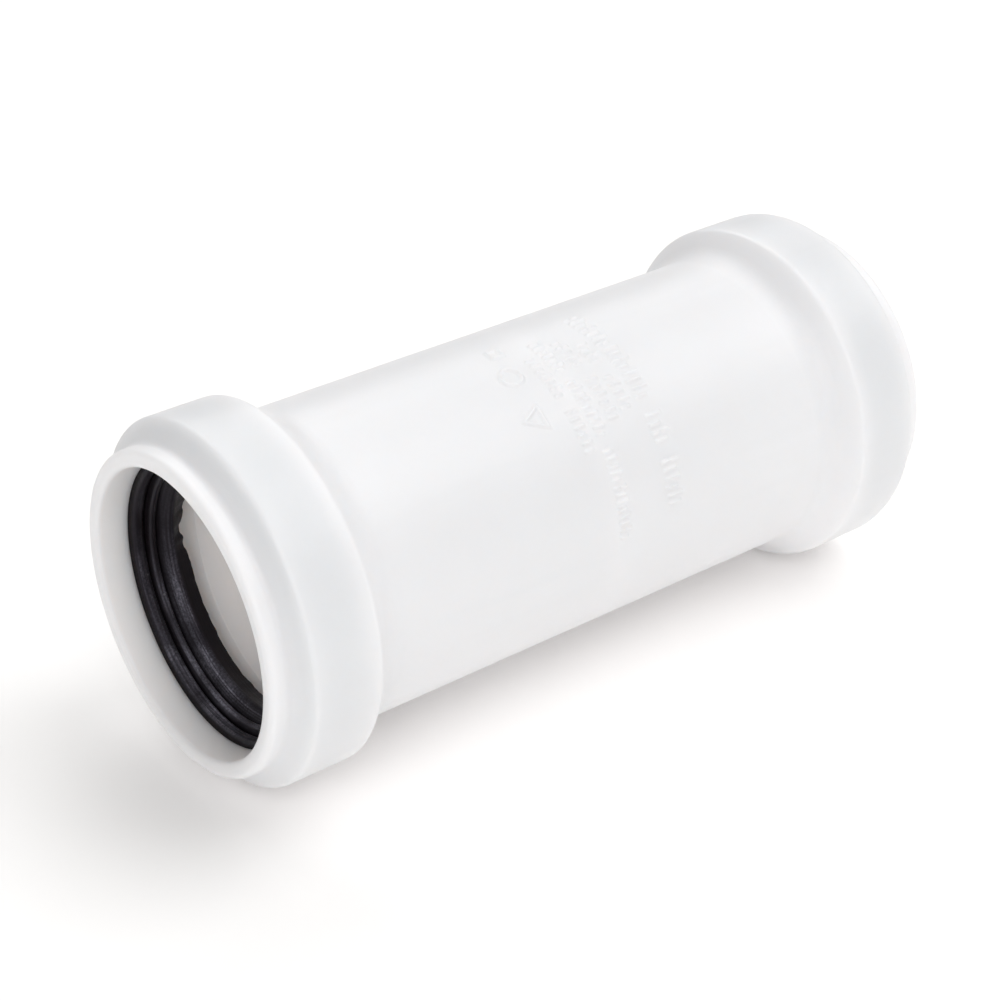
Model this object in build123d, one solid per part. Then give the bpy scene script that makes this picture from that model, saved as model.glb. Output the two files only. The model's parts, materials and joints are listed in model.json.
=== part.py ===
from build123d import *
import math
import os

# Straight double-socket push-fit coupling for 40 mm plastic waste pipe. One white
# polypropylene moulding holds a rubber lip seal in the groove behind each mouth.
# Millimetres. +X runs along the bore from the left mouth to the right mouth, +Z is up,
# and the origin is on the bore's axis, halfway between the mouths.
# Half-sections are drawn as (u, r): u is the distance in from the left mouth, r the radius.

# ---- driving dimensions -------------------------------------------------------------
PIPE_DIAMETER = 40.0        # outside diameter of the pipe that each socket takes
PIPE_CLEARANCE = 0.3        # gap between pipe and bore, all round
SOCKET_DEPTH = 56.0         # mouth to centre stop
STOP_WIDTH = 3.0            # centre stop, along the bore
STOP_HEIGHT = 1.4           # centre stop, in from the bore
STOP_ROUND = 0.5

BARREL_WALL = 1.9           # wall between the two beads
COLLAR_WALL = 2.5           # wall of the plain collar at each mouth
COLLAR_LENGTH = 2.5         # mouth face to the foot of the bead
BEAD_WALL = 1.9             # wall round the outside of the seal groove
FRONT_FLANK_ANGLE = 52.0    # bead's front flank, from the axis
REAR_FLANK_ANGLE = 45.0     # bead's rear flank, from the axis
REAR_SHOULDER = 1.55        # bead's crown runs on this far past the groove's floor
MOUTH_OUTER_ROUND = 0.9
MOUTH_INNER_ROUND = 0.7
BEAD_FOOT_ROUND = 1.1       # hollow between collar and bead
BEAD_CROWN_ROUND = 1.0      # both shoulders of the bead
BARREL_FOOT_ROUND = 5.0     # hollow between bead and barrel

GROOVE_DEPTH = 3.65         # seal groove, out from the bore
GROOVE_REAR_RUN = 2.3       # length of the groove's sloping rear wall
GROOVE_ROUND = 0.9          # corners of the groove's floor
SEAL_FRONT_GAP = 0.3        # groove's front wall to the ring
SEAL_REAR_GAP = 0.6         # ring to the end of the groove's floor

RIB_WIDTH = 1.8             # front rib, a half-round bead
RIB_RISE = 1.0              # its crest, in from the bore
FRONT_VALLEY_RISE = 0.3     # bottom of the valley behind it, in from the bore
FIN_WIDTH = 1.0             # second, thinner rib
FIN_RISE = 2.1              # its crest, in from the bore
REAR_VALLEY_RISE = 0.9      # bottom of the valley behind it, in from the bore
VALLEY = 0.13               # flat at the bottom of each valley
LIP_SQUEEZE = 2.7           # how far the pipe pushes the lip's crest outward
LIP_CONE_RUN = 1.76         # length of the lip's leading cone
LIP_BACK_RUN = 2.88         # lip's inner face, crest to tip
LIP_BACK_RISE = 1.1         # how far that face opens from crest to tip
LIP_THICKNESS = 0.7         # lip at its tip
LIP_ROOT = 2.3              # lip at the bottom of the notch behind it
NOTCH_DEPTH = 2.6           # notch between lip and heel, in from the tip
NOTCH_WIDTH = 1.0           # notch at its bottom
NOTCH_MOUTH = 2.4           # notch at its mouth
HEEL_SHORT = 0.4            # heel ends this far before the lip's tip

# ---- what follows from them ---------------------------------------------------------
length = 2 * SOCKET_DEPTH + STOP_WIDTH
bore = PIPE_DIAMETER / 2 + PIPE_CLEARANCE
collar_r = bore + COLLAR_WALL
barrel_r = bore + BARREL_WALL
groove_r = bore + GROOVE_DEPTH
bead_r = groove_r + BEAD_WALL
lip_r = PIPE_DIAMETER / 2 - LIP_SQUEEZE

front_flank = (bead_r - collar_r) / math.tan(math.radians(FRONT_FLANK_ANGLE))
rear_flank = (bead_r - barrel_r) / math.tan(math.radians(REAR_FLANK_ANGLE))
groove_front = COLLAR_LENGTH + front_flank
seal_front = groove_front + SEAL_FRONT_GAP
rib_end = seal_front + RIB_WIDTH
fin_start = rib_end + VALLEY
fin_end = fin_start + FIN_WIDTH
cone_start = fin_end + VALLEY
lip_crest = cone_start + LIP_CONE_RUN
lip_tip = lip_crest + LIP_BACK_RUN
heel_end = lip_tip - HEEL_SHORT
groove_end = heel_end + SEAL_REAR_GAP
crown_end = groove_end + REAR_SHOULDER


def round_corners(section, corners):
    """Round each (point, radius) corner of a flat section."""
    for (u, r), radius in corners:
        corner = min(section.vertices(), key=lambda v: math.hypot(v.X - u, v.Y - r))
        section = fillet(corner, radius)
    return section


def crest_round(width, height):
    """Radius that all but closes a rib's crest into a half-round, and is no taller than the rib."""
    return min(0.45 * width, 0.98 * height)


def turned(section):
    """The solid that a half-section sweeps round the bore's axis, moved to the part's origin."""
    ring = revolve(section, axis=Axis.X, revolution_arc=360)
    return Pos(-length / 2, 0, 0) * ring


def other_end(points):
    """The same points, measured in from the right mouth."""
    return [(length - u, r) for u, r in points]


def coupling_body():
    """The moulding: collar, bead and groove at each end, barrel and centre stop between."""
    mouth_inner = (0, bore)
    mouth_outer = (0, collar_r)
    bead_foot = (COLLAR_LENGTH, collar_r)
    crown_front = (groove_front, bead_r)
    crown_rear = (crown_end, bead_r)
    barrel_foot = (crown_end + rear_flank, barrel_r)
    floor_front = (groove_front, groove_r)
    floor_rear = (groove_end, groove_r)
    stop_corner = (SOCKET_DEPTH, bore - STOP_HEIGHT)

    outside = [mouth_inner, mouth_outer, bead_foot, crown_front, crown_rear, barrel_foot]
    inside = [(groove_front, bore), floor_front, floor_rear,
              (groove_end + GROOVE_REAR_RUN, bore), (SOCKET_DEPTH, bore), stop_corner]
    outline = outside + other_end(outside)[::-1] + other_end(inside) + inside[::-1]

    rounds = {mouth_inner: MOUTH_INNER_ROUND, mouth_outer: MOUTH_OUTER_ROUND,
              bead_foot: BEAD_FOOT_ROUND, barrel_foot: BARREL_FOOT_ROUND,
              crown_front: BEAD_CROWN_ROUND, crown_rear: BEAD_CROWN_ROUND,
              floor_front: GROOVE_ROUND, floor_rear: GROOVE_ROUND,
              stop_corner: STOP_ROUND}
    corners = list(zip(rounds, rounds.values()))
    corners += list(zip(other_end(rounds), rounds.values()))
    return turned(round_corners(make_face(Polyline(*outline, close=True)), corners))


def seal_ring():
    """The left rubber ring: heel on the groove's floor, two ribs, and a lip over a notch."""
    rib_r = bore - RIB_RISE
    front_valley_r = bore - FRONT_VALLEY_RISE
    fin_r = bore - FIN_RISE
    rear_valley_r = bore - REAR_VALLEY_RISE
    tip_r = lip_r + LIP_BACK_RISE
    notch_u = lip_tip - NOTCH_DEPTH

    front_outer = (seal_front, groove_r)
    rib_front = (seal_front, rib_r)
    rib_rear = (rib_end, rib_r)
    fin_front = (fin_start, fin_r)
    fin_rear = (fin_end, fin_r)
    crest = (lip_crest, lip_r)
    tip_inner = (lip_tip, tip_r)
    tip_outer = (lip_tip, tip_r + LIP_THICKNESS)
    notch_inner = (notch_u, lip_r + LIP_ROOT)
    notch_outer = (notch_u, lip_r + LIP_ROOT + NOTCH_WIDTH)
    heel_inner = (heel_end, tip_r + LIP_THICKNESS + NOTCH_MOUTH)
    heel_outer = (heel_end, groove_r)

    outline = [front_outer, rib_front, rib_rear, (rib_end, front_valley_r),
               (fin_start, front_valley_r), fin_front, fin_rear, (fin_end, rear_valley_r),
               (cone_start, rear_valley_r), crest, tip_inner, tip_outer,
               notch_inner, notch_outer, heel_inner, heel_outer]
    rib_round = crest_round(RIB_WIDTH, front_valley_r - rib_r)
    fin_round = crest_round(FIN_WIDTH, rear_valley_r - fin_r)
    corners = [(front_outer, GROOVE_ROUND), (rib_front, rib_round), (rib_rear, rib_round),
               (fin_front, fin_round), (fin_rear, fin_round), (crest, LIP_THICKNESS),
               (tip_inner, 0.2 * LIP_THICKNESS), (tip_outer, 0.4 * LIP_THICKNESS),
               (notch_inner, 0.45 * NOTCH_WIDTH), (notch_outer, 0.45 * NOTCH_WIDTH),
               (heel_outer, 0.5 * GROOVE_ROUND)]
    return turned(round_corners(make_face(Polyline(*outline, close=True)), corners))


left_seal = seal_ring()
parts = {"coupling_body": coupling_body(),
         "left_seal_ring": left_seal,
         "right_seal_ring": mirror(left_seal, about=Plane.YZ)}

os.makedirs("parts", exist_ok=True)
for name, solid in parts.items():
    export_step(solid, f"parts/{name}.step")
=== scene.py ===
import json

import bpy
import numpy as np
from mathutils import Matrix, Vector


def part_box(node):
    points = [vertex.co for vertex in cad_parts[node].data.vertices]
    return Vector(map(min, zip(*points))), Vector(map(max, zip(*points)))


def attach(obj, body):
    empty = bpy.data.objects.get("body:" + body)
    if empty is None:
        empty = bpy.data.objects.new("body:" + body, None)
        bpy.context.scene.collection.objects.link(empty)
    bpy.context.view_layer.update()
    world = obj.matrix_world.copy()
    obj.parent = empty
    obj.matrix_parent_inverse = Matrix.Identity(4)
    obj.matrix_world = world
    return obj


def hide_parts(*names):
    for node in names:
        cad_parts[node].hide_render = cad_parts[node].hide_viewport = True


# Looks for a white push-fit waste pipe coupling and its two black rubber lip seals.
# Metres, in the frame's own axes: +X along the bore, +Z up, origin halfway between the mouths.
# Half-sections are lists of (u, r): u is the distance in from the left mouth, r the radius.
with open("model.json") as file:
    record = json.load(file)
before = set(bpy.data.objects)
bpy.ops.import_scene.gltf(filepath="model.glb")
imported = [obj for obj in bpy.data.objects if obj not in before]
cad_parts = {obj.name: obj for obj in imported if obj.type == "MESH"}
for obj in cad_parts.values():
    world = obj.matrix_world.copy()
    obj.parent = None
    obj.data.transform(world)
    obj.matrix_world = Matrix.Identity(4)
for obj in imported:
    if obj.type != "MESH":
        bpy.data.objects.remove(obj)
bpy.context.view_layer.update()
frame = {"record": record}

MM = 0.001

# ---- sizes taken from the frame -----------------------------------------------------
body_low, body_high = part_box("coupling_body")
seal_low, seal_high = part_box("left_seal_ring")
length = body_high.x - body_low.x
bead_r = body_high.z
groove_r = seal_high.z
bore_r = frame["record"]["mounts"][0]["dims"]["r_mm"] * MM      # the left mouth's bore
seal_front = seal_low.x - body_low.x
lip_tip = seal_high.x - body_low.x

# ---- sizes of the moulding ----------------------------------------------------------
COLLAR_WALL = 2.5 * MM
COLLAR_LENGTH = 2.5 * MM
BARREL_WALL = 1.9 * MM
MOUTH_OUTER_ROUND = 0.9 * MM
MOUTH_INNER_ROUND = 0.7 * MM
BEAD_FOOT_ROUND = 1.1 * MM
BEAD_CROWN_ROUND = 1.0 * MM
BARREL_FOOT_ROUND = 5.0 * MM
SEAL_FRONT_GAP = 0.3 * MM
SEAL_REAR_GAP = 0.6 * MM
GROOVE_REAR_RUN = 2.3 * MM
GROOVE_ROUND = 0.9 * MM
REAR_SHOULDER = 1.55 * MM
STOP_WIDTH = 3.0 * MM
STOP_HEIGHT = 1.4 * MM
STOP_ROUND = 0.5 * MM

# ---- sizes of a seal ring -----------------------------------------------------------
RIB_WIDTH = 1.8 * MM
RIB_RISE = 1.0 * MM         # rises are in from the bore
FRONT_VALLEY_RISE = 0.3 * MM
FIN_WIDTH = 1.0 * MM
FIN_RISE = 2.1 * MM
REAR_VALLEY_RISE = 0.9 * MM
VALLEY = 0.13 * MM
LIP_RISE = 3.0 * MM
LIP_CONE_RUN = 1.76 * MM
LIP_BACK_RISE = 1.1 * MM    # lip's inner face, crest to tip, opens by this
LIP_THICKNESS = 0.7 * MM
LIP_ROOT = 2.3 * MM
NOTCH_DEPTH = 2.6 * MM
NOTCH_WIDTH = 1.0 * MM
NOTCH_MOUTH = 2.4 * MM
HEEL_SHORT = 0.4 * MM

# ---- fineness of the meshes ---------------------------------------------------------
ARC_STEPS = 5               # spans in each rounded corner
EDGE_ROUND = 0.12 * MM      # round of a corner that states none, where its sides have room for it
SIDE_ROW = 0.15 * MM        # rows this near a corner's round keep the flats beside it flat
ROOM_FOR_ROUND = 0.4        # most of a short side that a least round may take at one end
ROOM_FOR_ROW = 0.3          # most of what is left of it that a row's step may take
BODY_FINE = 0.5             # degrees between columns under the marking
BODY_COARSE = 2.4           # degrees between columns elsewhere
MARK_STATION = 0.2          # millimetres between rows under the marking
SEAL_COLUMNS = 600
SLACK = 0.01 * MM           # allowed when a point's radius is compared with a wall's


# ---- outlines and turned surfaces ---------------------------------------------------
def rounded(corners):
    """Closed outline through (point, radius) corners, each rounded by the arc that touches both of
    its sides: start + R (sin(t) a + (1 - cos(t)) n), where a is the way in, n its normal on the
    inside of the turn, and t runs from 0 to the turn's angle. Just off each end of an arc, on the
    flat, is one more point. A corner of radius 0 gets the least round, or what its sides leave."""
    points = np.array([point for point, radius in corners])
    stated = np.array([radius for point, radius in corners])
    ways = np.roll(points, -1, 0) - points
    sides = np.linalg.norm(ways, axis=1)
    ways = ways / sides[:, None]
    ways_in = np.roll(ways, 1, 0)
    turns = np.arccos(np.clip(np.sum(ways_in * ways, 1), -1, 1))

    def cut_back_and_room(radii):
        cut_back = radii * np.tan(turns / 2)
        return cut_back, sides - cut_back - np.roll(cut_back, -1)

    room = cut_back_and_room(stated)[1]
    least = ROOM_FOR_ROUND * np.minimum(room, np.roll(room, 1)) / np.tan(turns / 2)
    radii = np.where(stated > 0, stated, np.minimum(EDGE_ROUND, least))
    cut_back, room = cut_back_and_room(radii)
    step_out = np.minimum(SIDE_ROW, ROOM_FOR_ROW * room)
    runs = []
    for i, corner in enumerate(points):
        normal = (ways[i] - ways_in[i] * np.cos(turns[i])) / np.sin(turns[i])
        start = corner - ways_in[i] * cut_back[i]
        end = corner + ways[i] * cut_back[i]
        t = np.linspace(0, turns[i], ARC_STEPS + 1)[:, None]
        arc = start + radii[i] * (np.sin(t) * ways_in[i] + (1 - np.cos(t)) * normal)
        before = start - ways_in[i] * step_out[i - 1]
        after = end + ways[i] * step_out[i]
        runs += [before[None], arc, after[None]]
    return np.concatenate(runs)


def with_stations(outline, stations):
    """The same closed outline with points added where its outer side crosses each station, which
    is a u: found on the distance walked along the outline, so that every corner stays in place."""
    loop = np.vstack([outline, outline[:1]])
    walked = np.concatenate([[0], np.cumsum(np.linalg.norm(np.diff(loop, axis=0), axis=1))])
    outer = slice(0, int(np.argmax(outline[:, 0])) + 1)
    extra = np.interp(stations, outline[outer, 0], walked[outer])
    at = np.unique(np.concatenate([walked[:-1], extra]))
    return np.stack([np.interp(at, walked, loop[:, 0]), np.interp(at, walked, loop[:, 1])], 1)


def turned_surface(name, rows, angles):
    """Closed ring mesh from a grid of (u, r) rows, one row of columns for each outline point.
    Column angle a puts a point at (u, -r sin a, r cos a); both directions of the grid wrap."""
    u, r = rows
    points = np.stack([u - length / 2, -r * np.sin(angles), r * np.cos(angles)], -1)
    n, m = r.shape
    index = np.arange(n * m).reshape(n, m)
    right = np.roll(index, -1, 1)
    quads = np.stack([index, right, np.roll(right, -1, 0), np.roll(index, -1, 0)], -1)
    outline_area = np.sum(u[:, 0] * np.roll(r[:, 0], -1) - np.roll(u[:, 0], -1) * r[:, 0])
    if outline_area > 0:
        quads = quads[..., ::-1]
    mesh = bpy.data.meshes.new(name)
    mesh.from_pydata(points.reshape(-1, 3), [], quads.reshape(-1, 4))
    mesh.shade_smooth()
    piece = bpy.data.objects.new(name, mesh)
    bpy.context.scene.collection.objects.link(piece)
    return piece


def smooth_step(x):
    """0 below 0, 1 above 1, and 3x^2 - 2x^3 between."""
    x = np.clip(x, 0, 1)
    return x * x * (3 - 2 * x)


# ---- the moulding -------------------------------------------------------------------
barrel_r = bore_r + BARREL_WALL
collar_r = bore_r + COLLAR_WALL
groove_front = seal_front - SEAL_FRONT_GAP
groove_end = lip_tip - HEEL_SHORT + SEAL_REAR_GAP
crown_end = groove_end + REAR_SHOULDER
barrel_start = crown_end + bead_r - barrel_r


def body_outline():
    """Closed half-section of the whole coupling, outside from left to right, then inside back."""
    stop_u = (length - STOP_WIDTH) / 2
    outside = [((0, bore_r), MOUTH_INNER_ROUND), ((0, collar_r), MOUTH_OUTER_ROUND),
               ((COLLAR_LENGTH, collar_r), BEAD_FOOT_ROUND),
               ((groove_front, bead_r), BEAD_CROWN_ROUND),
               ((crown_end, bead_r), BEAD_CROWN_ROUND),
               ((barrel_start, barrel_r), BARREL_FOOT_ROUND)]
    inside = [((groove_front, bore_r), 0), ((groove_front, groove_r), GROOVE_ROUND),
              ((groove_end, groove_r), GROOVE_ROUND),
              ((groove_end + GROOVE_REAR_RUN, bore_r), 0), ((stop_u, bore_r), 0),
              ((stop_u, bore_r - STOP_HEIGHT), STOP_ROUND)]

    def other_end(corners):
        return [((length - u, r), radius) for (u, r), radius in corners]

    return rounded(outside + other_end(outside)[::-1] + other_end(inside) + inside[::-1])


# Raised marking on the barrel: rows of plain upright bars in groups, and three plain signs.
# A row is (distance from the left mouth to its foot, height, first angle, last angle,
# groups); a sign is (distance from the left mouth, angle, radius, number of sides or 0 if round).
MARK_RISE = 0.35 * MM       # how far a mark stands up from the barrel
MARK_EDGE = 0.14 * MM       # width of a mark's sloping edge
BAR_WIDTH = 0.36 * MM
MARK_ROWS = [(65.6 * MM, 3.2 * MM, -5, 83, (15, 4, 6)),
             (62.7 * MM, 2.3 * MM, 11, 44, (4, 5)),
             (59.9 * MM, 2.2 * MM, 6, 46, (5, 6)),
             (56.9 * MM, 2.3 * MM, 3, 88, (7, 9, 13)),
             (54.2 * MM, 2.1 * MM, 10, 54, (7, 6))]
MARK_SIGNS = [(52.0 * MM, 2, 1.3 * MM, 4), (50.6 * MM, 16, 1.6 * MM, 0),
              (49.8 * MM, 35, 2.0 * MM, 3)]
MARKED_FROM = 47.0          # the marking lies between these distances from the left mouth, in mm
MARKED_TO = 69.6
MARKED_FIRST = -9           # and between these angles
MARKED_LAST = 91
GROUP_GAP = 1.5             # gap between two groups, in places
BAR_HEIGHTS = (1.0, 0.72, 1.0, 0.86)        # shares of a row's height, taken in turn
BAR_HALF = 0.42             # half the share of its place's height that a bar fills


def box_distance(x, y, half_x, half_y):
    """Signed distance to a rectangle's edge. With (dx, dy) = (|x| - half_x, |y| - half_y) it is the
    length of (dx, dy) with negatives taken as 0, plus the larger of dx and dy if it is negative."""
    dx = np.abs(x) - half_x
    dy = np.abs(y) - half_y
    outside = np.hypot(np.maximum(dx, 0), np.maximum(dy, 0))
    return outside + np.minimum(np.maximum(dx, dy), 0)


def sign_distance(x, y, radius, sides):
    """Signed distance to the edge of a ring's line: a circle's, or a regular polygon's, whose
    distance from the middle at angle t is radius cos(pi / n) / cos(t - the middle of its side)."""
    reach = np.hypot(x, y)
    if sides:
        sector = 2 * np.pi / sides
        turn = np.mod(np.arctan2(y, x) + sector / 2, sector) - sector / 2
        return np.abs(reach * np.cos(turn) - radius * np.cos(np.pi / sides)) - BAR_WIDTH / 2
    return np.abs(reach - radius) - BAR_WIDTH / 2


def marking_distance(u, arc):
    """Signed distance to the nearest edge of any mark, over a grid of (u, arc round the barrel).
    Every third place in a row holds two half-height bars, one above the other, in place of one."""
    nearest = np.full(u.shape, 1.0)     # a metre, farther than any mark
    for foot, height, first, last, groups in MARK_ROWS:
        start = np.radians(first) * barrel_r
        end = np.radians(last) * barrel_r
        places = sum(groups) + GROUP_GAP * (len(groups) - 1)
        pitch = (end - start) / places
        at = start + pitch / 2
        for group in groups:
            for bar in range(group):
                tall = height * BAR_HEIGHTS[(bar + group) % len(BAR_HEIGHTS)]
                pieces = 2 if (bar + group) % 3 == 0 else 1
                part = tall / pieces
                for k in range(pieces):
                    middle = foot + part * (k + 0.5)
                    half_line = part * BAR_HALF - BAR_WIDTH / 2
                    edge = box_distance(u - middle, arc - at, half_line, 0) - BAR_WIDTH / 2
                    nearest = np.minimum(nearest, edge)
                at += pitch
            at += GROUP_GAP * pitch
    for distance, angle, radius, sides in MARK_SIGNS:
        edge = sign_distance(u - distance, arc - np.radians(angle) * barrel_r, radius, sides)
        nearest = np.minimum(nearest, edge)
    return nearest


def body_piece():
    """The moulding as one closed surface. Its outer side rises by the marking's height where
    the marking's edge distance is negative, with a soft edge. The point attribute "inside" is 1
    on the bore's side of the wall and 0 on the outside and the mouths' faces."""
    stations = np.arange(MARKED_FROM, MARKED_TO, MARK_STATION) * MM
    outline = with_stations(body_outline(), stations)
    fine_angles = np.arange(MARKED_FIRST, MARKED_LAST, BODY_FINE)
    rest_of_turn = 360 + MARKED_FIRST - MARKED_LAST
    coarse_angles = np.linspace(MARKED_LAST, MARKED_LAST + rest_of_turn,
                                round(rest_of_turn / BODY_COARSE), endpoint=False)
    angles = np.radians(np.concatenate([fine_angles, coarse_angles]))
    u = np.repeat(outline[:, :1], len(angles), 1)
    r = np.repeat(outline[:, 1:], len(angles), 1)
    arc = np.where(angles > np.pi, angles - 2 * np.pi, angles) * barrel_r
    edge = marking_distance(u, np.broadcast_to(arc, u.shape))
    on_outside = r > barrel_r - SLACK
    r = r + on_outside * MARK_RISE * smooth_step(0.5 - edge / MARK_EDGE)
    piece = turned_surface("moulded_body", (u, r), angles)
    right_mouth = np.flatnonzero(outline[:, 0] > length - MOUTH_INNER_ROUND)[-1]
    inside = (np.arange(len(outline)) > right_mouth) | (outline[:, 1] < bore_r + SLACK)
    layer = piece.data.attributes.new("inside", "FLOAT", "POINT")
    layer.data.foreach_set("value", np.repeat(inside.astype(np.float32), len(angles)))
    return piece


# ---- the seal rings -----------------------------------------------------------------
def crest_round(width, height):
    """Round that all but closes a rib's crest into a half-round, and is no taller than the rib."""
    return min(0.45 * width, 0.98 * height)


def seal_outline():
    """Closed half-section of the left ring: heel, two ribs, lip, and the notch behind the lip."""
    rib_end = seal_front + RIB_WIDTH
    fin_start = rib_end + VALLEY
    fin_end = fin_start + FIN_WIDTH
    cone_start = fin_end + VALLEY
    front_valley_r = bore_r - FRONT_VALLEY_RISE
    rear_valley_r = bore_r - REAR_VALLEY_RISE
    rib_round = crest_round(RIB_WIDTH, RIB_RISE - FRONT_VALLEY_RISE)
    fin_round = crest_round(FIN_WIDTH, FIN_RISE - REAR_VALLEY_RISE)
    lip_r = bore_r - LIP_RISE
    tip_r = lip_r + LIP_BACK_RISE
    notch_u = lip_tip - NOTCH_DEPTH
    heel_end = lip_tip - HEEL_SHORT
    return rounded([
        ((seal_front, groove_r), GROOVE_ROUND),
        ((seal_front, bore_r - RIB_RISE), rib_round),
        ((rib_end, bore_r - RIB_RISE), rib_round),
        ((rib_end, front_valley_r), 0), ((fin_start, front_valley_r), 0),
        ((fin_start, bore_r - FIN_RISE), fin_round), ((fin_end, bore_r - FIN_RISE), fin_round),
        ((fin_end, rear_valley_r), 0), ((cone_start, rear_valley_r), 0),
        ((cone_start + LIP_CONE_RUN, lip_r), LIP_THICKNESS),
        ((lip_tip, tip_r), 0.2 * LIP_THICKNESS),
        ((lip_tip, tip_r + LIP_THICKNESS), 0.4 * LIP_THICKNESS),
        ((notch_u, lip_r + LIP_ROOT), 0.45 * NOTCH_WIDTH),
        ((notch_u, lip_r + LIP_ROOT + NOTCH_WIDTH), 0.45 * NOTCH_WIDTH),
        ((heel_end, tip_r + LIP_THICKNESS + NOTCH_MOUTH), 0),
        ((heel_end, groove_r), 0.5 * GROOVE_ROUND)])


# The lip's free edge is torn: (middle angle, half width, how much shorter) of each torn stretch.
TEARS = [(-90, 19, 0.5 * MM), (-89, 6, 0.55 * MM), (-77, 4, 0.3 * MM), (-97, 4, 0.25 * MM)]
RAGGED = 0.13 * MM          # finer unevenness of the edge
RAGGED_KNOTS = 210          # places round the ring where its unevenness is drawn
LIP_LEAN = 0.06 * MM        # slow wave of the free lip along the bore
TEAR_TURN = 137             # degrees that the right ring's tears are turned by
TEAR_SLOPE = 1.3            # above 1, so that a tear is at full depth over its middle
LIP_CLEAR = 0.2 * MM        # points up to this far outside the lip's tip move with it
DUSTY_ANGLE = -165          # where round the ring the dust lies thickest
DUST_FALL = 7               # power that the dust falls off by round the ring
LEAST_DUST_AND_SHEEN = 0.08           # share of the dust and painted sheen that is left on the opposite side
RIB_DUST_AND_SHEEN = 0.8              # dust and painted sheen on the first rib's crest, where the cone's is 1
FIN_DUST_AND_SHEEN = 0.7              # dust and painted sheen on the second rib's crest
CONE_DUST_AND_SHEEN_FROM = 0.92       # share of the cone's length before its crest where its dust and painted sheen begin
CONE_DUST_AND_SHEEN_RUN = 0.4         # share of the cone's length that they take to come in
BEHIND_FROM = 0.1 * MM      # past the crest, where the dust and painted sheen begin to go out
BEHIND_RUN = 0.5 * MM       # length that they take to go out


def lip_shortening(degrees):
    """How far the lip's edge falls short at each angle: a smooth bump for each tear, full over its
    middle and 0 at its half width, cosines of a and 3a for the lean, and for the ragged edge the
    cubes of random heights, joined by straight lines."""
    short = np.zeros_like(degrees)
    for middle, half, depth in TEARS:
        away = np.abs(np.mod(degrees - middle + 180, 360) - 180)
        short += depth * smooth_step(TEAR_SLOPE * (1 - away / half))
    a = np.radians(degrees)
    short += LIP_LEAN * (np.cos(a + 1.9) + 0.4 * np.cos(3 * a + 0.7))
    heights = np.random.default_rng(5).uniform(-1, 1, RAGGED_KNOTS) ** 3
    knots = np.linspace(0, 360, RAGGED_KNOTS, endpoint=False)
    return short + RAGGED * np.interp(np.mod(degrees, 360), knots, heights, period=360)


def dust_and_sheen_held(u, r, degrees, crest_u):
    """How much dust and painted sheen each point of the left ring holds. Along the section it comes
    in to 1 on the lip's leading cone, to set shares on the ribs' crests, and is 0 in the valleys
    and behind the crest of the lip; on those crests and on the cone it is a painted highlight, the
    blue-grey sheen that catches the light there, as well as dust. Round the ring it is multiplied
    by L + (1 - L) c, where
    L is the least share and c is (1 + cos) / 2 of the angle from the dusty side, to the power
    DUST_FALL."""
    inside = r < bore_r - FRONT_VALLEY_RISE / 2
    # Painted sheen: the ribs' crests and the lip's leading cone get a lighter share that stands for
    # their highlight; the valleys get none.
    crests = smooth_step((bore_r - r - FRONT_VALLEY_RISE) / (RIB_RISE - FRONT_VALLEY_RISE))
    fin_crests = smooth_step((bore_r - r - REAR_VALLEY_RISE) / (FIN_RISE - REAR_VALLEY_RISE))
    before_fin = u < seal_front + RIB_WIDTH + VALLEY / 2
    ribs = np.where(before_fin, RIB_DUST_AND_SHEEN * crests, FIN_DUST_AND_SHEEN * fin_crests)
    on_cone = u > crest_u - LIP_CONE_RUN
    past_start = u - crest_u + CONE_DUST_AND_SHEEN_FROM * LIP_CONE_RUN
    cone = smooth_step(past_start / (CONE_DUST_AND_SHEEN_RUN * LIP_CONE_RUN))
    behind = smooth_step((u - crest_u - BEHIND_FROM) / BEHIND_RUN)
    dusty_side = (0.5 + 0.5 * np.cos(np.radians(degrees - DUSTY_ANGLE))) ** DUST_FALL
    round_ring = LEAST_DUST_AND_SHEEN + (1 - LEAST_DUST_AND_SHEEN) * dusty_side
    return inside * np.where(on_cone, cone * (1 - behind), ribs) * round_ring


def seal_piece(name, right_hand):
    """A ring turned from the seal's section, its lip shortened towards the free edge by the angle's
    shortening. The right ring is the left one mirrored in u, with its tears turned. Its one point
    attribute holds how much dust and painted sheen each point has."""
    outline = seal_outline()
    degrees = np.linspace(-180, 180, SEAL_COLUMNS, endpoint=False)
    u = np.repeat(outline[:, :1], SEAL_COLUMNS, 1)
    r = np.repeat(outline[:, 1:], SEAL_COLUMNS, 1)
    crest_u = seal_front + RIB_WIDTH + FIN_WIDTH + 2 * VALLEY + LIP_CONE_RUN
    dust_and_sheen = dust_and_sheen_held(u, r, degrees, crest_u)
    tip_inner_r = bore_r - LIP_RISE + LIP_BACK_RISE
    on_lip = r < tip_inner_r + LIP_THICKNESS + LIP_CLEAR
    towards_edge = on_lip * smooth_step((u - crest_u) / (lip_tip - crest_u))
    u = u - towards_edge * lip_shortening(degrees + (TEAR_TURN if right_hand else 0))
    if right_hand:
        u = length - u
    ring = turned_surface(name, (u, r), np.radians(degrees))
    layer = ring.data.attributes.new("dust_and_sheen", "FLOAT", "POINT")
    layer.data.foreach_set("value", dust_and_sheen.ravel())
    return ring


# ---- materials ----------------------------------------------------------------------
def node(tree, kind, inputs=None, **settings):
    """A shader node with its settings, its input values, and links where an input is a socket."""
    made = tree.nodes.new("ShaderNode" + kind)
    for key, value in settings.items():
        setattr(made, key, value)
    for key, value in (inputs or {}).items():
        if isinstance(value, bpy.types.NodeSocket):
            tree.links.new(value, made.inputs[key])
        else:
            made.inputs[key].default_value = value
    return made


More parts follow.
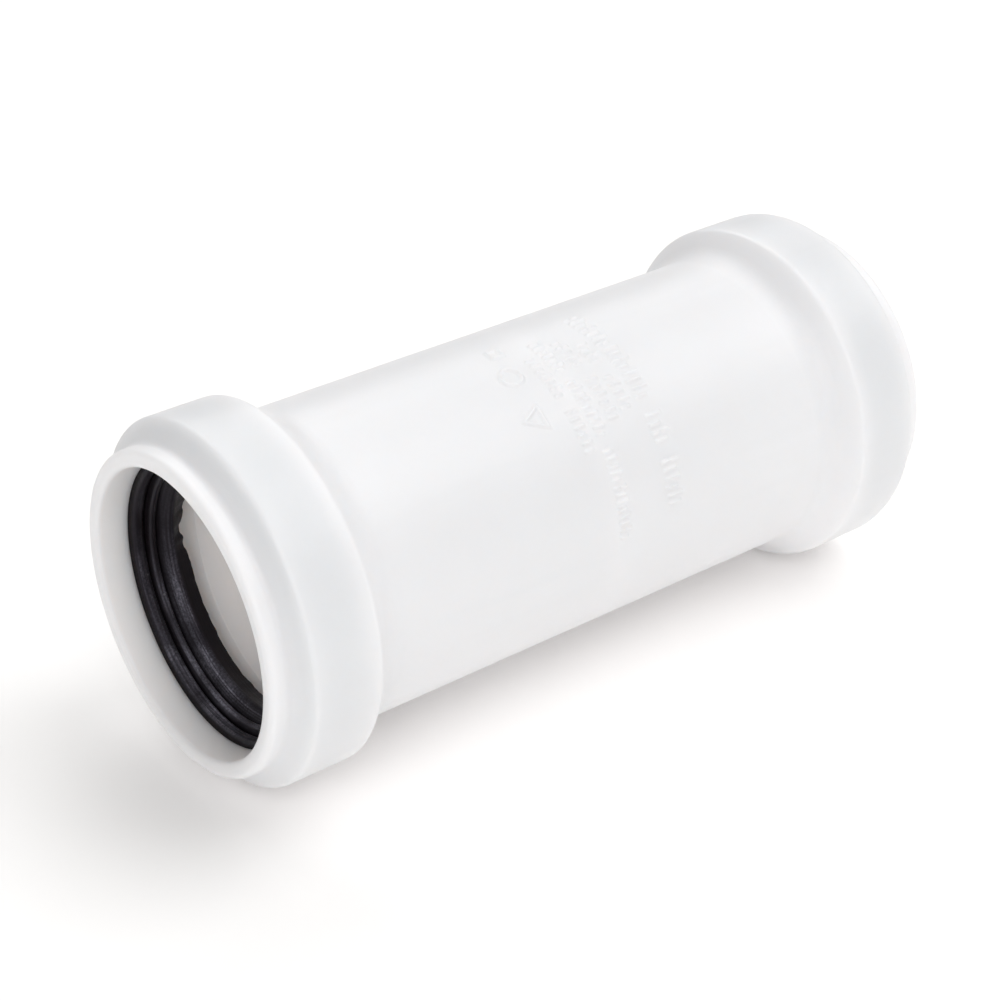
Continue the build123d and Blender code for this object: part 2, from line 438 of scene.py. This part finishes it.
def new_material(name):
    """An empty node material with a Principled shader, and its object coordinates."""
    material = bpy.data.materials.new(name)
    material.use_nodes = True
    tree = material.node_tree
    place = node(tree, "TexCoord").outputs["Object"]
    return material, tree, tree.nodes["Principled BSDF"], place


def ramp(tree, factor, stops):
    """Colour ramp through (position, grey or colour) stops."""
    made = node(tree, "ValToRGB", {"Fac": factor})
    elements = made.color_ramp.elements
    while len(elements) < len(stops):
        elements.new(0.5)
    for element, (position, colour) in zip(elements, stops):
        element.position = position
        element.color = (*colour, 1) if isinstance(colour, tuple) else (colour,) * 3 + (1,)
    return made.outputs["Color"]


def specks(tree, place, scale, size, share):
    """1 inside small scattered specks, 0 outside: a Voronoi cell's middle, in a share of cells."""
    cells = node(tree, "TexVoronoi", {"Vector": place, "Scale": scale})
    near = node(tree, "Math", {0: cells.outputs["Distance"], 1: size}, operation="LESS_THAN")
    pick = node(tree, "SeparateColor", {"Color": cells.outputs["Color"]}).outputs["Red"]
    chosen = node(tree, "Math", {0: pick, 1: share}, operation="LESS_THAN")
    return node(tree, "Math", {0: near.outputs[0], 1: chosen.outputs[0]},
                operation="MULTIPLY").outputs[0]


def mixed(tree, factor, first, second):
    """One colour into another by a factor."""
    made = node(tree, "Mix", {"Factor": factor}, data_type="RGBA")
    for socket, colour in ((made.inputs[6], first), (made.inputs[7], second)):
        if isinstance(colour, bpy.types.NodeSocket):
            tree.links.new(colour, socket)
        else:
            socket.default_value = (*colour, 1)
    return made.outputs[2]


def white_polypropylene():
    """Opaque white moulded plastic that lets a little light through its wall: soft clouding, flow
    streaks along the bore, painted bore light (a lighter, warmer colour on the bore's side of the
    wall, for light that comes through the wall and bounces down the bore), a few dark specks and a
    satin grain."""
    material, tree, shader, place = new_material("white_polypropylene")
    cloud = node(tree, "TexNoise", {"Vector": place, "Scale": 45, "Detail": 3}).outputs["Fac"]
    stretch = node(tree, "Mapping", {"Vector": place, "Scale": (25, 260, 260)}).outputs["Vector"]
    streak = node(tree, "TexNoise", {"Vector": stretch, "Scale": 1, "Detail": 4}).outputs["Fac"]
    clean = ramp(tree, cloud, [(0.3, (0.884, 0.864, 0.874)), (0.7, (0.904, 0.884, 0.894))])
    streaked = mixed(tree, ramp(tree, streak, [(0.55, 0.0), (0.75, 0.12)]), clean, (0.8, 0.8, 0.81))
    inside = node(tree, "Attribute", attribute_name="inside").outputs["Fac"]
    # Painted light: the bore's side of the wall gets a lighter, warmer colour than the outside, for
    # the light that comes through the wall and bounces down the bore.
    with_painted_bore_light = mixed(tree, inside, streaked, (0.99, 0.936, 0.922))
    speck = node(tree, "Math", {0: specks(tree, place, 210, 0.05, 0.1), 1: inside},
                 operation="MULTIPLY").outputs[0]
    dirty = mixed(tree, speck, with_painted_bore_light, (0.2, 0.17, 0.15))
    tree.links.new(dirty, shader.inputs["Base Color"])
    grain = node(tree, "TexNoise", {"Vector": place, "Scale": 2600, "Detail": 2}).outputs["Fac"]
    fine = node(tree, "Bump", {"Height": grain, "Strength": 0.12, "Distance": 0.0001})
    waves = node(tree, "Bump", {"Height": streak, "Normal": fine.outputs["Normal"],
                                "Strength": 0.1, "Distance": 0.0002})
    tree.links.new(waves.outputs["Normal"], shader.inputs["Normal"])
    rough = ramp(tree, cloud, [(0.2, 0.36), (0.8, 0.46)])
    tree.links.new(rough, shader.inputs["Roughness"])
    shader.inputs["Subsurface Weight"].default_value = 0.85
    shader.inputs["Subsurface Radius"].default_value = (1.0, 0.9, 0.84)
    shader.inputs["Subsurface Scale"].default_value = 0.006
    return material


def black_rubber():
    """Black moulded rubber: blue-grey dust and painted sheen where the ring's stored share of them
    is high, in fine streaks that run round the ring, brown-black where it is none, fine pits, and a
    few pale specks. On the ribs' crests and the lip's cone the blue-grey is a painted highlight as
    well as dust.
    The streaks are a noise of x, of the distance from the bore's axis, and slowly of z, which draws
    it out round the ring."""
    material, tree, shader, place = new_material("black_rubber")
    dust_and_sheen = node(tree, "Attribute", attribute_name="dust_and_sheen").outputs["Fac"]
    patch = node(tree, "TexNoise", {"Vector": place, "Scale": 130, "Detail": 5}).outputs["Fac"]
    fine = node(tree, "TexNoise", {"Vector": place, "Scale": 3200, "Detail": 3,
                                   "Roughness": 0.75}).outputs["Fac"]
    across = node(tree, "VectorMath", {0: place, 1: (0, 1, 1)}, operation="MULTIPLY")
    radius = node(tree, "VectorMath", {0: across.outputs["Vector"]}, operation="LENGTH")
    split = node(tree, "SeparateXYZ", {"Vector": place}).outputs
    section = node(tree, "CombineXYZ", {"X": split["X"], "Y": radius.outputs["Value"],
                                        "Z": split["Z"]}).outputs["Vector"]
    round_ring = node(tree, "Mapping", {"Vector": section, "Scale": (2600, 2600, 110)})
    streak = node(tree, "TexNoise", {"Vector": round_ring.outputs["Vector"], "Scale": 1,
                                     "Detail": 3}).outputs["Fac"]
    streaks = ramp(tree, streak, [(0.4, 0.2), (0.6, 1.0)])
    patches = ramp(tree, patch, [(0.4, 0.25), (0.62, 1.0)])
    grains = ramp(tree, fine, [(0.38, 0.3), (0.66, 1.0)])
    amount = node(tree, "Math", {0: dust_and_sheen, 1: patches}, operation="MULTIPLY").outputs[0]
    streaky = node(tree, "Math", {0: amount, 1: streaks}, operation="MULTIPLY").outputs[0]
    sheen_and_dust = node(tree, "Math", {0: streaky, 1: grains}, operation="MULTIPLY").outputs[0]
    # Painted sheen: this blue-grey stands both for dust and for the highlight on the ribs' crests
    # and the lip's cone.
    sheened_and_dusty = mixed(tree, sheen_and_dust, (0.006, 0.0042, 0.0052), (0.56, 0.55, 0.66))
    lint = node(tree, "Math", {0: specks(tree, place, 900, 0.16, 0.02), 1: amount},
                operation="MULTIPLY").outputs[0]
    tree.links.new(mixed(tree, lint, sheened_and_dusty, (0.4, 0.39, 0.42)), shader.inputs["Base Color"])
    bump = node(tree, "Bump", {"Height": fine, "Strength": 0.2, "Distance": 0.00012})
    wavy = node(tree, "Bump", {"Height": patch, "Normal": bump.outputs["Normal"],
                               "Strength": 0.3, "Distance": 0.0004})
    drawn = node(tree, "Bump", {"Height": streak, "Normal": wavy.outputs["Normal"],
                                "Strength": 0.25, "Distance": 0.00015})
    tree.links.new(drawn.outputs["Normal"], shader.inputs["Normal"])
    tree.links.new(ramp(tree, fine, [(0.3, 0.3), (0.7, 0.5)]), shader.inputs["Roughness"])
    shader.inputs["Specular IOR Level"].default_value = 0.18
    shader.inputs["Specular Tint"].default_value = (0.86, 0.82, 1, 1)
    return material


def pale_floor():
    """Matt white paper that glows faintly, as a light table does."""
    material, tree, shader, place = new_material("pale_floor")
    mottle = node(tree, "TexNoise", {"Vector": place, "Scale": 3}).outputs["Fac"]
    colour = ramp(tree, mottle, [(0.0, (0.96, 0.95, 0.94)), (1.0, (0.98, 0.97, 0.96))])
    tree.links.new(colour, shader.inputs["Base Color"])
    shader.inputs["Roughness"].default_value = 0.8
    shader.inputs["Emission Color"].default_value = (1, 1, 1, 1)
    shader.inputs["Emission Strength"].default_value = 0.08
    return material


# ---- the object ---------------------------------------------------------------------
plastic = white_polypropylene()
rubber = black_rubber()

moulding = body_piece()
moulding.data.materials.append(plastic)
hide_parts("coupling_body")
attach(moulding, "root")

for ring_name, cad_node, right_hand in (("left_lip_seal", "left_seal_ring", False),
                                        ("right_lip_seal", "right_seal_ring", True)):
    ring = seal_piece(ring_name, right_hand)
    ring.data.materials.append(rubber)
    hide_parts(cad_node)
    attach(ring, "root")

# ---- floor, light and camera --------------------------------------------------------
FLOOR_HALF = 3.0            # half the floor's side
floor_mesh = bpy.data.meshes.new("floor")
floor_mesh.from_pydata([(x * FLOOR_HALF, y * FLOOR_HALF, body_low.z)
                        for x, y in ((-1, -1), (1, -1), (1, 1), (-1, 1))], [], [(0, 1, 2, 3)])
floor = bpy.data.objects.new("floor", floor_mesh)
bpy.context.scene.collection.objects.link(floor)
floor.data.materials.append(pale_floor())


def aimed(item, azimuth, elevation, distance, target):
    """Stand an object off a target, looking at it. Azimuth 0 is on the -Y side, 90 on +X."""
    a, e = np.radians(azimuth), np.radians(elevation)
    back = Vector((np.sin(a) * np.cos(e), -np.cos(a) * np.cos(e), np.sin(e)))
    item.location = Vector(target) + back * distance
    item.rotation_euler = (-back).to_track_quat("-Z", "Y").to_euler()
    bpy.context.scene.collection.objects.link(item)
    return item


SOFTBOX_SIZE = 1.3          # side of a lamp's square
SOFTBOX_DISTANCE = 1.6      # from the origin


def softbox(name, power, azimuth, elevation):
    """A square area light, aimed at the origin."""
    light = bpy.data.lights.new(name, "AREA")
    light.energy = power
    light.size = SOFTBOX_SIZE
    return aimed(bpy.data.objects.new(name, light), azimuth, elevation, SOFTBOX_DISTANCE, (0, 0, 0))


softbox("right_softbox", 13.0, 60, 60)
softbox("front_softbox", 11.7, -38, 32)
softbox("back_softbox", 9.5, 155, 45)

world = bpy.data.worlds.new("studio")
world.use_nodes = True
world.node_tree.nodes["Background"].inputs["Color"].default_value = (1, 1, 1, 1)
world.node_tree.nodes["Background"].inputs["Strength"].default_value = 0.27
bpy.context.scene.world = world
bpy.context.scene.view_settings.view_transform = "Standard"

CAMERA_AZIMUTH = -37.953    # degrees, as aimed() takes them
CAMERA_ELEVATION = 30.583
CAMERA_DISTANCE = 0.33302   # from the point it looks at
CAMERA_TARGET = (-0.00398, 0, -0.00175)
camera = bpy.data.cameras.new("camera")
camera.lens = 84.15
camera.sensor_width = 36.0
camera.clip_start = 0.01
bpy.context.scene.camera = aimed(bpy.data.objects.new("camera", camera), CAMERA_AZIMUTH,
                                 CAMERA_ELEVATION, CAMERA_DISTANCE, CAMERA_TARGET)
